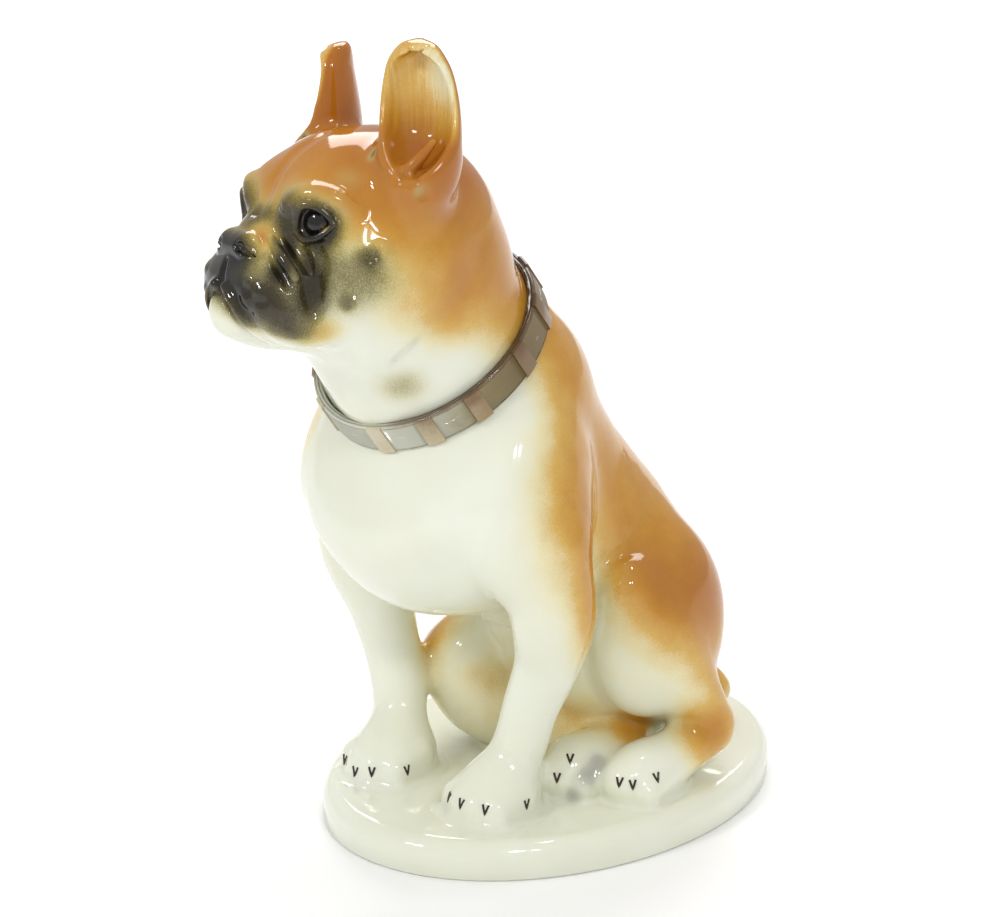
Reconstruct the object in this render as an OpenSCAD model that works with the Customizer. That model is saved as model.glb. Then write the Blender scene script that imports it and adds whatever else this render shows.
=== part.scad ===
// Seated bulldog figurine: slip-cast, luted, glazed and fired porcelain.
// Millimetres, +Z up. The origin is the middle of the flat underside of the oval base.
// The dog faces -Y and its left side is +X.

/* [Base] */
// width of the oval base across the dog
base_w = 107.4; // [95:0.2:120]
// length of the oval base along the dog
base_l = 140; // [125:0.5:155]
// height of the base
base_h = 10.5; // [8:0.1:14]
// rounding of the base's top edge, along its long axis
base_round = 4.6; // [2:0.1:6]
// small bevel round the underside
foot_bevel = 0.8; // [0.4:0.1:1.5]
// diameter of the firing vent in the underside
vent_d = 3.5; // [2.5:0.25:5]
// distance of the vent behind the middle of the base
vent_back = 20; // [14:0.5:26]

/* [Body] */
// thickness of the cast wall
wall = 4; // [3:0.1:5]
// half width of the chest
chest_r = 34.5; // [30:0.5:38]
// half width of the hips
rump_r = 30; // [26:0.5:34]
// where the forequarters' middle plane lies across the base
fore_mid = -6.5; // [-9:0.1:-4]

/* [Collar] */
// middle of the collar ring
collar_at = [-8.8, -36.8, 135];
// turn of the collar ring about X and then Y
collar_turn = [36, -3.4, 0];
// radius of the neck under the collar
collar_r = 30; // [28:0.1:32]
// how far the collar stands up from the neck
collar_t = 2.4; // [1.6:0.1:3.2]
// width of the collar band
collar_w = 9; // [7:0.1:11]
// width of one cross band
band_w = 4.4; // [3:0.1:6]
// how far a cross band stands up from the collar
band_t = 0.8; // [0.5:0.1:1.4]

/* [Head] */
// middle of the head
head_at = [-13, -63, 170];
// turn of the head: nose up, tilt and turn to the dog's right
head_turn = [-8, -7, -16];
// half width of the skull
skull_r = 27.5; // [25:0.5:30]
// half width of the muzzle
muzzle_r = 20.5; // [18:0.5:23]
// height of an ear above the skull's middle
ear_h = 51; // [45:0.5:54]
// half width of an ear
ear_r = 10.5; // [9:0.1:12]

/* [Legs] */
// half distance between the forepaws
paw_half = 19.3; // [17:0.1:22]
// radius of the forearm
forearm_r = 9; // [8:0.1:11]
// radius of the wrist
wrist_r = 7.3; // [6.5:0.1:8.5]
// radius of one toe
toe_r = 4; // [3.5:0.1:5]

/* [Hidden] */
sink = 0.6; // how far luted pieces press into each other on the base
band_turns = [-121, -79, -53, -28, 3, 32, 62, 93, 124, 155, 186, 213]; // each cross band's place round the collar
neck_low = [-7.8, -27, 121.6];
neck_mid = [-9.4, -43, 147];
neck_top = [-9.6, -50, 167];
chest_at = [-9, -37, 101];
brisket_at = [-7, -33, 82];
withers_at = [-5, -23, 119];
ribs_at = [-2, -7, 86];
loin_at = [2, 12, 63];
rump_at = [3, 19, 40];

module egg(at, r, q = 30) translate(at) scale(r) sphere(r = 1, $fn = q);
module inner(at, r, q = 20) translate(at) scale([r[0] - wall, r[1] - wall, r[2] - wall]) sphere(r = 1, $fn = q);
module chain(list, q = 20) {
    for (i = [0:len(list) - 2]) hull() {
        translate(list[i][0]) sphere(r = list[i][1], $fn = q);
        translate(list[i + 1][0]) sphere(r = list[i + 1][1], $fn = q);
    }
}
module in_head() translate(head_at) rotate(head_turn) children();
module in_collar() translate(collar_at) rotate(collar_turn) children();
module below_collar() in_collar() translate([-150, -150, -300]) cube([300, 300, 300]);
module above_collar() in_collar() translate([-150, -150, 0]) cube([300, 300, 300]);
module below_base() translate([-150, -150, base_h - sink - 100]) cube([300, 300, 100]);

module base_slice(inset, z) translate([0, 0, z]) linear_extrude(0.02)
    scale([base_w / 2 - inset, base_l / 2 - inset]) circle(r = 1, $fn = 96);

module plinth() color([0.93, 0.94, 0.88]) difference() {
    hull() {
        base_slice(foot_bevel, 0);
        base_slice(0, foot_bevel);
        for (a = [0:15:90]) base_slice(base_round * (1 - cos(a)), base_h - base_round * (1 - sin(a)) - 0.02);
    }
    translate([0, vent_back, -1]) cylinder(d = vent_d, h = base_h + 2, $fn = 24);
}

module torso() color([0.93, 0.94, 0.88]) difference() {
    union() {
        hull() {
            egg(chest_at, [chest_r, 34, 36]);
            egg(withers_at, [31, 30, 27]);
            egg(collar_at, [collar_r, collar_r, collar_r]);
            egg([fore_mid - 31, -34, 98], [10, 19, 25]);
            egg([fore_mid + 31, -34, 98], [10, 19, 25]);
        }
        hull() {
            egg(withers_at, [31, 30, 27]);
            egg(ribs_at, [28, 29, 33]);
            egg(loin_at, [29, 28, 32]);
        }
        hull() {
            egg(loin_at, [29, 28, 32]);
            egg(rump_at, [rump_r, 28, 31]);
        }
        hull() {
            egg(chest_at, [chest_r, 34, 36]);
            egg(brisket_at, [24, 22, 19]);
            egg(ribs_at, [28, 29, 33]);
        }
    }
    above_collar();
    below_base();
    hull() {
        inner(chest_at, [chest_r, 34, 34]);
        inner(withers_at, [31, 30, 27]);
        inner(collar_at, [collar_r, collar_r, collar_r]);
        inner(ribs_at, [28, 29, 33]);
    }
    hull() {
        inner(ribs_at, [28, 29, 33]);
        inner(rump_at, [rump_r, 28, 29]);
    }
    translate([0, vent_back, 0]) cylinder(d = vent_d, h = 40, $fn = 24);
}

module head() color([0.80, 0.55, 0.28]) difference() {
    union() {
        hull() {
            egg(neck_low, [collar_r, collar_r, collar_r]);
            egg(collar_at, [collar_r, collar_r, collar_r]);
            egg(neck_mid, [29, 29, 29]);
            egg(neck_top, [28, 28, 28]);
        }
        in_head() {
            hull() {
                egg([0, 2.5, 2.5], [skull_r, 26.5, 24.5]);
                for (s = [-1, 1]) {
                    egg([s * 16, -2, -10], [13.5, 18, 16], 20);
                    egg([s * 20, 9, -3], [9.5, 13, 17], 20);
                    egg([s * 11, -12.5, 8], [8.5, 9, 8], 18);
                }
            }
            hull() {
                egg([0, -18, -12], [16, 15, 13], 24);
                translate([0, -30, -20.2]) sphere(r = 6.8, $fn = 20);
                translate([0, -13, -21.6]) sphere(r = 8.4, $fn = 20);
                for (s = [-1, 1]) {
                    egg([s * (muzzle_r - 12), -23, -12.5], [10, 11, 9.5], 20);
                    egg([s * (muzzle_r - 7.5), -18, -18], [8, 12, 9.5], 20);
                }
            }
            hull() {
                egg([0, -21.5, -0.8], [8.5, 7.8, 5.5], 20);
                for (s = [-1, 1]) translate([s * 4, -29.2, -3.4]) sphere(r = 4.3, $fn = 20);
            }
            hull() {
                translate([0, -4, -20]) sphere(r = 9, $fn = 20);
                translate([0, 12, -36]) sphere(r = 13, $fn = 20);
                for (s = [-1, 1]) translate([s * 11, 5, -23]) sphere(r = 12, $fn = 20);
            }
            for (s = [-1, 1]) translate([s * 16.2, -16.6, 4.4]) sphere(r = 4.8, $fn = 32);
        }
    }
    below_collar();
    hull() {
        inner(neck_low, [collar_r, collar_r, collar_r]);
        inner(neck_top, [28, 28, 28]);
        in_head() inner([0, 2.5, 2.5], [skull_r, 26.5, 24.5]);
    }
}

module ear(s, tall, turn) color([0.75, 0.45, 0.20]) in_head() translate([s * 25.5, 6, 0]) rotate([0, 0, turn])
    difference() {
        hull() {
            egg([-s, 1, 9], [7.5, 8, 9], 24);
            egg([0, -0.3, 24 * tall], [ear_r, 11.5, 11], 24);
            egg([-s * 2.2, 2.2, (ear_h - 11) * tall], [7.4, 5.2, 11 * tall], 24);
        }
        hull() {
            egg([0, -5.2, 27 * tall], [ear_r - 2.2, 9.6, 9.5], 20);
            egg([-s * 1.7, -2.6, (ear_h - 10.5) * tall], [6.6, 6.2, 8 * tall], 20);
        }
    }
module ear_left() ear(1, 1, 46);
module ear_right() ear(-1, 0.93, -38);

function fore_x(s, d) = fore_mid + s * d;
module foreleg(s) color([0.93, 0.94, 0.88]) difference() {
    union() {
        hull() {
            egg([fore_x(s, 32.5), -33, 92], [11.5, 15, 20], 24);
            translate([fore_x(s, 35.5), -30, 68]) sphere(r = 11.4, $fn = 20);
        }
        chain([[[fore_x(s, 35.5), -30, 68], 11.4], [[fore_x(s, 31.5) + 0.5, -28, 53], forearm_r],
               [[fore_x(s, 26) + 1, -29, 39], 7.6], [[fore_x(s, 22.5) + 1.8, -31, 27], wrist_r]]);
        hull() {
            translate([fore_x(s, 22.5) + 1.8, -31, 27]) sphere(r = wrist_r, $fn = 20);
            egg([fore_x(s, paw_half) + 2.8, -38, base_h + 4.5], [11, 12.5, 8], 24);
        }
        for (t = [-1.5:1:1.5])
            translate([fore_x(s, paw_half) + 2.8 + t * 4.9, -48.8 + abs(t) * 2.6, base_h + 4]) sphere(r = toe_r, $fn = 24);
    }
    below_base();
}
module foreleg_left() foreleg(1);
module foreleg_right() foreleg(-1);

module haunch_left() color([0.80, 0.55, 0.28]) union() {
    hull() {
        egg([28, 12, 53], [15, 22, 27], 28);
        translate([32, -3, 67]) sphere(r = 8.2, $fn = 20);
    }
    chain([[[32, -3, 67], 8.2], [[36, 6, 50], 8.5], [[39, 15, 36], 7.5], [[40, 20, 26], 7.2]]);
}
module haunch_right() color([0.80, 0.55, 0.28]) difference() {
    union() {
        hull() egg([-18, 4, 33], [16, 23, 23], 28);
        chain([[[-24, -10, 33], 12], [[-13, -8, 23], 10], [[8, 2, 20], 9], [[21, 6, 18], 7.5]]);
    }
    below_base();
}

module hind_paw_left() color([0.93, 0.94, 0.88]) difference() {
    union() {
        chain([[[40, 20, 23], 7.4], [[39, 8, 18.5], 7.2]]);
        hull() {
            translate([39, 8, 18.5]) sphere(r = 7.2, $fn = 20);
            egg([37.4, -3, base_h + 5.5], [9, 13.5, 8.5], 24);
        }
        for (t = [-1.5:1:1.5])
            translate([37.6 + t * 4.4, -11.5 + abs(t) * 1.9, base_h + 3.6]) sphere(r = 3.7, $fn = 24);
    }
    below_base();
}
module hind_paw_right() color([0.93, 0.94, 0.88]) difference() {
    union() {
        hull() {
            translate([22, 4, 18]) sphere(r = 7.5, $fn = 20);
            egg([22, -12, base_h + 5.5], [9, 12.5, 9], 24);
        }
        for (t = [-1.5:1:1.5])
            translate([22 + t * 4.4, -20.5 + abs(t) * 1.9, base_h + 3.6]) sphere(r = 3.7, $fn = 24);
    }
    below_base();
}

module tail() color([0.68, 0.38, 0.18]) chain([[[5, 43, 25], 8], [[12, 51, 19], 6.2], [[15.5, 52, 18], 5]]);

module collar() color([0.62, 0.62, 0.60]) in_collar() rotate_extrude($fn = 96) {
    translate([collar_r - 0.4, -collar_w / 2 + 1]) square([collar_t + 0.4, collar_w - 2]);
    translate([collar_r - 0.4, -collar_w / 2]) square([collar_t - 0.6, collar_w]);
    translate([collar_r + collar_t - 1, collar_w / 2 - 1]) circle(r = 1, $fn = 24);
    translate([collar_r + collar_t - 1, 1 - collar_w / 2]) circle(r = 1, $fn = 24);
}

module collar_bands() color([0.75, 0.65, 0.50]) in_collar()
    for (turn = band_turns) rotate([0, 0, turn]) intersection() {
        difference() {
            cylinder(r = collar_r + collar_t + band_t, h = collar_w + 0.6, center = true, $fn = 96);
            cylinder(r = collar_r + collar_t - 0.3, h = collar_w + 2, center = true, $fn = 96);
        }
        translate([collar_r, -band_w / 2, -collar_w]) cube([10, band_w, 2 * collar_w]);
    }

plinth();
torso();
head();
ear_left();
ear_right();
foreleg_left();
foreleg_right();
haunch_left();
haunch_right();
hind_paw_left();
hind_paw_right();
tail();
collar();
collar_bands();
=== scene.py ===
"""Seated bulldog figurine in glazed porcelain, hand coloured, on a low oval base.

The clay is modelled as fields of depth below a surface, in millimetres. Each cast piece is pressed
on to the figure with a fillet of slip, skinned with a mesh, painted and glazed.
"""
import math
import bpy
import bmesh
import numpy as np
from mathutils import Matrix, Vector


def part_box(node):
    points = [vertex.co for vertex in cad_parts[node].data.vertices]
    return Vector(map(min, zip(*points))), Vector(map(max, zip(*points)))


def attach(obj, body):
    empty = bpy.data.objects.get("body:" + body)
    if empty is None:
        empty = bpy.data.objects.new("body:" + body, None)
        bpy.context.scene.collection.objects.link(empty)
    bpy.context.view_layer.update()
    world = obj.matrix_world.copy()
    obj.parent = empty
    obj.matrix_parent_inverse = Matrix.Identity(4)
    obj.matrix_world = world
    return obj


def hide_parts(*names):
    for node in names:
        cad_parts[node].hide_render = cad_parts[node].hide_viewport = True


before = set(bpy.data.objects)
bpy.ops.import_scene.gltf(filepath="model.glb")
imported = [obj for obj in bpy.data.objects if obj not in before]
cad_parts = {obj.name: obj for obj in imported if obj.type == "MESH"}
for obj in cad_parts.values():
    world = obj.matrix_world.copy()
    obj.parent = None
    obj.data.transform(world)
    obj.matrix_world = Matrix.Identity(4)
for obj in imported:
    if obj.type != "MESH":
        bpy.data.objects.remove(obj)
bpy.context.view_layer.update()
MM = 0.001

# ---------------------------------------------------------------------------------------------
# Base. A low oval slab of white porcelain, cast in one with a softly rounded top edge and a small
# bevel round the foot, glazed all over but for the underside. The dog is luted on to it.
# ---------------------------------------------------------------------------------------------


def node_tree(name, sizes):
    """A Geometry Nodes tree with named inputs, and a short way of adding nodes to it."""
    tree = bpy.data.node_groups.new(name, "GeometryNodeTree")
    tree.interface.new_socket("Geometry", in_out="INPUT", socket_type="NodeSocketGeometry")
    for label, kind in sizes.items():
        tree.interface.new_socket(label, in_out="INPUT", socket_type="NodeSocket" + kind)
    tree.interface.new_socket("Geometry", in_out="OUTPUT", socket_type="NodeSocketGeometry")
    entry = tree.nodes.new("NodeGroupInput")

    def add(kind, links=None, **settings):
        node = tree.nodes.new(kind)
        for key, value in settings.items():
            setattr(node, key, value)
        for socket, source in (links or {}).items():
            if hasattr(source, "is_output"):
                tree.links.new(source, node.inputs[socket])
            else:
                node.inputs[socket].default_value = source
        return node

    def finish(result, material):
        real = add("GeometryNodeRealizeInstances", {0: result})
        dressed = add("GeometryNodeSetMaterial", {0: real.outputs[0], "Material": material})
        exit_node = tree.nodes.new("NodeGroupOutput")
        tree.links.new(dressed.outputs[0], exit_node.inputs[0])

    return tree, entry.outputs, add, finish


def grown(name, tree, values, source=None):
    """Runs a tree with the given sizes and keeps the result as a plain mesh object."""
    holder = bpy.data.objects.new(name, source or bpy.data.meshes.new(name))
    bpy.context.collection.objects.link(holder)
    modifier = holder.modifiers.new("grow", "NODES")
    modifier.node_group = tree
    for item in tree.interface.items_tree:
        if item.in_out == "INPUT" and item.name in values:
            modifier[item.identifier] = values[item.name]
    bpy.context.view_layer.update()
    evaluated = holder.evaluated_get(bpy.context.evaluated_depsgraph_get())
    mesh = bpy.data.meshes.new_from_object(evaluated)
    mesh.name = name
    bpy.data.objects.remove(holder)
    piece = bpy.data.objects.new(name, mesh)
    bpy.context.collection.objects.link(piece)
    return piece


WHITE = (0.82, 0.835, 0.72)


def glaze(name, colours=None, gloss=0.07, waviness=1.0):
    """Fired porcelain: body colour and painted colours under one clear, slightly wavy glaze."""
    material = bpy.data.materials.new(name)
    material.use_nodes = True
    nodes, links = material.node_tree.nodes, material.node_tree.links
    shader = nodes["Principled BSDF"]
    shader.inputs["IOR"].default_value = 1.52
    shader.inputs["Subsurface Weight"].default_value = 0.12
    shader.inputs["Subsurface Radius"].default_value = (1.0, 0.9, 0.7)
    shader.inputs["Subsurface Scale"].default_value = 0.0015
    place = nodes.new("ShaderNodeTexCoord").outputs["Object"]

    def grain(scale, detail=2.0, rough=0.5):
        node = nodes.new("ShaderNodeTexNoise")
        node.inputs["Scale"].default_value = scale
        node.inputs["Detail"].default_value = detail
        node.inputs["Roughness"].default_value = rough
        links.new(place, node.inputs["Vector"])
        return node.outputs["Fac"]

    def maths(kind, a, b):
        node = nodes.new("ShaderNodeMath")
        node.operation = kind
        for socket, value in zip(node.inputs, (a, b)):
            if hasattr(value, "is_output"):
                links.new(value, socket)
            else:
                socket.default_value = value
        return node.outputs[0]

    def ramp(value, stops):
        node = nodes.new("ShaderNodeValToRGB")
        band = node.color_ramp.elements
        while len(band) < len(stops):
            band.new(0.5)
        for element, (at, colour) in zip(band, stops):
            element.position = at
            element.color = (*colour, 1.0)
        links.new(value, node.inputs["Fac"])
        return node.outputs["Color"]

    def blend(amount, under, over):
        node = nodes.new("ShaderNodeMix")
        node.data_type = "RGBA"
        links.new(amount, node.inputs["Factor"])
        for socket, value in ((node.inputs["A"], under), (node.inputs["B"], over)):
            if hasattr(value, "is_output"):
                links.new(value, socket)
            else:
                socket.default_value = (*value, 1.0)
        return node.outputs["Result"]

    def painted(channel):
        node = nodes.new("ShaderNodeAttribute")
        node.attribute_name = channel
        return node.outputs["Fac"]

    # the white body is a little warmer and greener where the glaze lies thick
    tint = ramp(grain(35.0, 2.0), [(0.35, WHITE), (0.65, (0.79, 0.80, 0.66))])
    stipple = maths("SUBTRACT", grain(2600.0, 2.0, 0.7), 0.5)
    cloud = maths("SUBTRACT", grain(160.0, 3.0), 0.5)
    for channel, stops, speck, cloudy in colours or []:
        level = painted(channel)
        edge = maths("MULTIPLY", level, maths("SUBTRACT", 1.0, level))
        level = maths("ADD", level, maths("MULTIPLY", maths("MULTIPLY", stipple, speck), edge))
        level = maths("ADD", level, maths("MULTIPLY", maths("MULTIPLY", cloud, cloudy), edge))
        cover = ramp(level, [(at, (hold, hold, hold)) for at, colour, hold in stops])
        shade = ramp(level, [(at, colour) for at, colour, hold in stops])
        tint = blend(cover, tint, shade)
    links.new(tint, shader.inputs["Base Color"])

    rough = nodes.new("ShaderNodeMapRange")
    rough.inputs["To Min"].default_value = gloss * 0.7
    rough.inputs["To Max"].default_value = gloss * 1.5
    links.new(grain(300.0, 3.0), rough.inputs["Value"])
    links.new(rough.outputs["Result"], shader.inputs["Roughness"])

    bump = nodes.new("ShaderNodeBump")
    bump.inputs["Strength"].default_value = 0.5
    bump.inputs["Distance"].default_value = 0.00035 * waviness
    height = maths("ADD", maths("MULTIPLY", grain(110.0, 1.0), 1.0), maths("MULTIPLY", grain(900.0), 0.03))
    links.new(height, bump.inputs["Height"])
    links.new(bump.outputs["Normal"], shader.inputs["Normal"])
    return material


base_low, base_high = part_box("plinth")
TOP = base_high[2] / MM
glaze_base = glaze("glaze_base", gloss=0.08)
tree, sizes, add, finish = node_tree(
    "oval_base", {"Width": "Float", "Length": "Float", "Height": "Float", "Rounding": "Float",
                  "Bevel": "Float"})
inner_x = add("ShaderNodeMath", {0: sizes["Width"], 1: 0.5}, operation="MULTIPLY")
inner_x = add("ShaderNodeMath", {0: inner_x.outputs[0], 1: sizes["Rounding"]}, operation="SUBTRACT")
inner_y = add("ShaderNodeMath", {0: sizes["Length"], 1: 0.5}, operation="MULTIPLY")
inner_y = add("ShaderNodeMath", {0: inner_y.outputs[0], 1: sizes["Rounding"]}, operation="SUBTRACT")
spread = add("ShaderNodeCombineXYZ", {"X": inner_x.outputs[0], "Y": inner_y.outputs[0], "Z": 1.0})
ring = add("GeometryNodeCurvePrimitiveCircle", {"Resolution": 240, "Radius": 1.0})
where = add("GeometryNodeInputPosition")
stretched = add("ShaderNodeVectorMath", {0: where.outputs[0], 1: spread.outputs[0]}, operation="MULTIPLY")
path = add("GeometryNodeSetPosition", {"Geometry": ring.outputs[0], "Position": stretched.outputs[0]})
# the section runs from the rim of the top face, round the edge and down to the foot
steps = 14
index = add("GeometryNodeInputIndex")
turned = add("ShaderNodeMath", {0: index.outputs[0], 1: math.pi / 2 / steps}, operation="MULTIPLY")
angle_sin = add("ShaderNodeMath", {0: turned.outputs[0]}, operation="SINE")
angle_cos = add("ShaderNodeMath", {0: turned.outputs[0]}, operation="COSINE")
drop = add("ShaderNodeMath", {0: 1.0, 1: angle_cos.outputs[0]}, operation="SUBTRACT")
out = add("ShaderNodeMath", {0: angle_sin.outputs[0], 1: sizes["Rounding"]}, operation="MULTIPLY")
down = add("ShaderNodeMath", {0: drop.outputs[0], 1: sizes["Rounding"]}, operation="MULTIPLY")
corner = add("ShaderNodeCombineXYZ", {"X": out.outputs[0], "Y": down.outputs[0]})
line = add("GeometryNodeCurvePrimitiveLine")
arc = add("GeometryNodeResampleCurve", {"Curve": line.outputs[0], "Count": steps + 1})
arc = add("GeometryNodeSetPosition", {"Geometry": arc.outputs[0], "Position": corner.outputs[0]})
foot_y = add("ShaderNodeMath", {0: sizes["Height"], 1: sizes["Bevel"]}, operation="SUBTRACT")
foot_x = add("ShaderNodeMath", {0: sizes["Rounding"], 1: sizes["Bevel"]}, operation="SUBTRACT")
side_start = add("ShaderNodeCombineXYZ", {"X": sizes["Rounding"], "Y": sizes["Rounding"]})
side_end = add("ShaderNodeCombineXYZ", {"X": sizes["Rounding"], "Y": foot_y.outputs[0]})
bevel_end = add("ShaderNodeCombineXYZ", {"X": foot_x.outputs[0], "Y": sizes["Height"]})
side = add("GeometryNodeCurvePrimitiveLine", {"Start": side_start.outputs[0], "End": side_end.outputs[0]})
bevel = add("GeometryNodeCurvePrimitiveLine", {"Start": side_end.outputs[0], "End": bevel_end.outputs[0]})
lift = add("ShaderNodeCombineXYZ", {"Z": sizes["Height"]})
edges = []
for section in (arc, side, bevel):
    swept = add("GeometryNodeCurveToMesh", {"Curve": path.outputs[0], "Profile Curve": section.outputs[0]})
    raised = add("GeometryNodeTransform", {"Geometry": swept.outputs[0], "Translation": lift.outputs[0]})
    edges.append(raised.outputs[0])
top_rim = add("GeometryNodeFillCurve", {"Curve": path.outputs[0]}, mode="NGONS")
top_face = add("GeometryNodeTransform", {"Geometry": top_rim.outputs[0], "Translation": lift.outputs[0]})
edges.append(top_face.outputs[0])
joined = add("GeometryNodeJoinGeometry")
for part in reversed(edges):
    tree.links.new(part, joined.inputs[0])
welded = add("GeometryNodeMergeByDistance", {"Geometry": joined.outputs[0], "Distance": 0.00001})
smooth = add("GeometryNodeSetShadeSmooth", {"Geometry": welded.outputs[0], "Shade Smooth": True})
finish(smooth.outputs[0], glaze_base)
oval_base = grown("oval_base", tree, {
    "Width": base_high[0] - base_low[0], "Length": base_high[1] - base_low[1],
    "Height": base_high[2] - base_low[2], "Rounding": 0.0046, "Bevel": 0.0008})
shell = bmesh.new()
shell.from_mesh(oval_base.data)
bmesh.ops.holes_fill(shell, edges=shell.edges, sides=0)
bmesh.ops.recalc_face_normals(shell, faces=shell.faces)
shell.to_mesh(oval_base.data)
shell.free()
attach(oval_base, "root")
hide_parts("plinth")

# ---------------------------------------------------------------------------------------------
# Torso. Slip-cast in a two-part mould and left hollow: chest, ribs, loin and rump in one sweep from
# the collar to the base, where it is luted down. White in front, sprayed fawn over the back.
# ---------------------------------------------------------------------------------------------
CELL = 0.85


def merged(a, b, k):
    """The nearer of two depths, with a fillet of reach k where they meet."""
    h = np.maximum(k - np.abs(a - b), 0.0) / k
    return np.minimum(a, b) - h * h * k * 0.25


def turned_by(x=0.0, y=0.0, z=0.0):
    """A turn about X, then Y, then Z, in degrees, as rows to multiply points by."""
    turn = Matrix.Rotation(math.radians(z), 3, "Z") @ Matrix.Rotation(math.radians(y), 3, "Y")
    return np.array(turn @ Matrix.Rotation(math.radians(x), 3, "X"))


class Egg:
    """An egg of clay at a point, with three half sizes and an optional turn."""

    def __init__(self, at, size, turn=None):
        self.at = np.array(at, float)
        self.size = np.array(size, float) * np.ones(3)
        self.turn = turn
        reach = self.size if turn is None else self.size.max()
        self.low, self.high = self.at - reach, self.at + reach

    def __call__(self, p):
        q = p - self.at
        if self.turn is not None:
            q = q @ self.turn
        a = q / self.size
        k0 = np.sqrt((a * a).sum(1))
        k1 = np.sqrt(((a / self.size) ** 2).sum(1)) + 1e-9
        return np.where(k0 < 1e-3, -self.size.min(), k0 * (k0 - 1.0) / k1)


def eased(stations, steps):
    """A smooth line through stations of any numbers."""
    s = np.array(stations, float)
    if len(s) < 3:
        return s
    s = np.vstack([2 * s[0] - s[1], s, 2 * s[-1] - s[-2]])
    line = []
    for a, b, c, d in zip(s[:-3], s[1:-2], s[2:-1], s[3:]):
        for t in np.arange(steps) / steps:
            line.append(0.5 * (2 * b + (c - a) * t + (2 * a - 5 * b + 4 * c - d) * t * t
                               + (3 * b - a - 3 * c + d) * t ** 3))
    return np.array(line + [s[-2]])


class Coil:
    """A rolled coil of clay laid along a smooth line through (x, y, z, radius) stations."""

    def __init__(self, stations, steps=4):
        s = eased(stations, steps)
        self.line = s
        self.low = (s[:, :3] - s[:, 3:]).min(0)
        self.high = (s[:, :3] + s[:, 3:]).max(0)

    def __call__(self, p):
        best = np.full(len(p), 1e3)
        for a, b in zip(self.line[:-1], self.line[1:]):
            along, grow = b[:3] - a[:3], b[3] - a[3]
            length2 = max(along @ along, 1e-6)
            q = p - a[:3]
            t = np.clip(q @ along / length2, 0.0, 1.0)
            best = np.minimum(best, np.sqrt(((q - t[:, None] * along) ** 2).sum(1)) - a[3] - grow * t)
        return best


class Clay:
    """Clay built up by pressing shapes on and carving shapes away, in order."""

    def __init__(self):
        self.steps = []

    def press(self, shape, k=4.0):
        self.steps.append((1.0, shape, k))
        return self

    def carve(self, shape, k=1.5):
        self.steps.append((-1.0, shape, k))
        return self

    @property
    def low(self):
        return np.min([shape.low for sign, shape, k in self.steps if sign > 0], axis=0)

    @property
    def high(self):
        return np.max([shape.high for sign, shape, k in self.steps if sign > 0], axis=0)

    def __call__(self, p):
        depth = np.full(len(p), 50.0)
        for sign, shape, k in self.steps:
            margin = 7.0 + k
            near = np.flatnonzero(np.all((p > shape.low - margin) & (p < shape.high + margin), axis=1))
            if len(near):
                here = sign * merged(sign * depth[near], shape(p[near]), k)
                depth[near] = here
        return depth


def luted(piece, around, k):
    """The figure once a piece is pressed on to it; k is a reach, or a rule giving one per point."""
    def depth(p):
        reach = k(p) if callable(k) else k
        return merged(piece(p), around(p), reach)
    return depth


def slopes(field, p, e=0.12):
    """The outward direction of a field at each point."""
    tips = np.array([(1, -1, -1), (-1, -1, 1), (-1, 1, -1), (1, 1, 1)], float)
    total = np.zeros_like(p)
    for tip in tips:
        total += tip * field(p + tip * e)[:, None]
    return total / (4.0 * e)


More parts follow.
